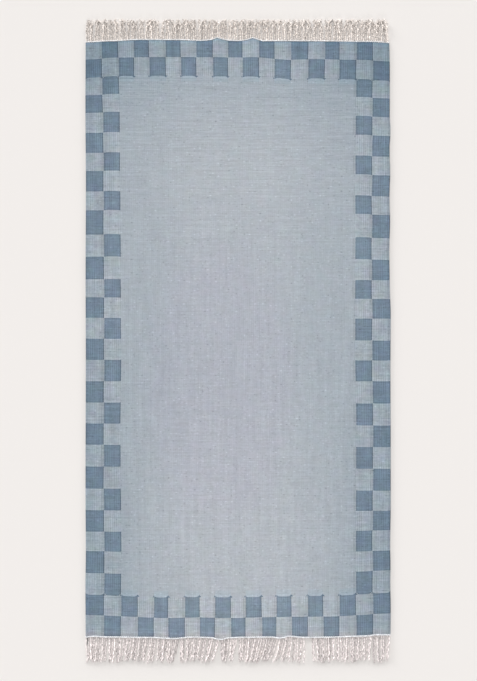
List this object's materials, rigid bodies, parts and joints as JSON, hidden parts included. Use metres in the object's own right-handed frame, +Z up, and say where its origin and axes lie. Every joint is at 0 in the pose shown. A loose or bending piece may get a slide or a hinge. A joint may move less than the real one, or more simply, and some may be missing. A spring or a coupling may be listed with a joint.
{
  "type": "flatweave rug",
  "caption": "Narrow flatwoven cloth rug lying flat, with a checked border and a cut warp fringe along each short end.",
  "frame": {"origin": "the middle of the underside, on the floor", "axes": "+X across the rug, +Y along it towards the far fringe, +Z up"},
  "size_m": [0.6984, 1.469, 0.004],
  "materials": {
    "woven_cloth": "matte",
    "fringe": "matte"
  },
  "bodies": {
    "root": {"woven_cloth": "woven_cloth", "near_fringe": "fringe", "far_fringe": "fringe"}
  },
  "joints": []
}
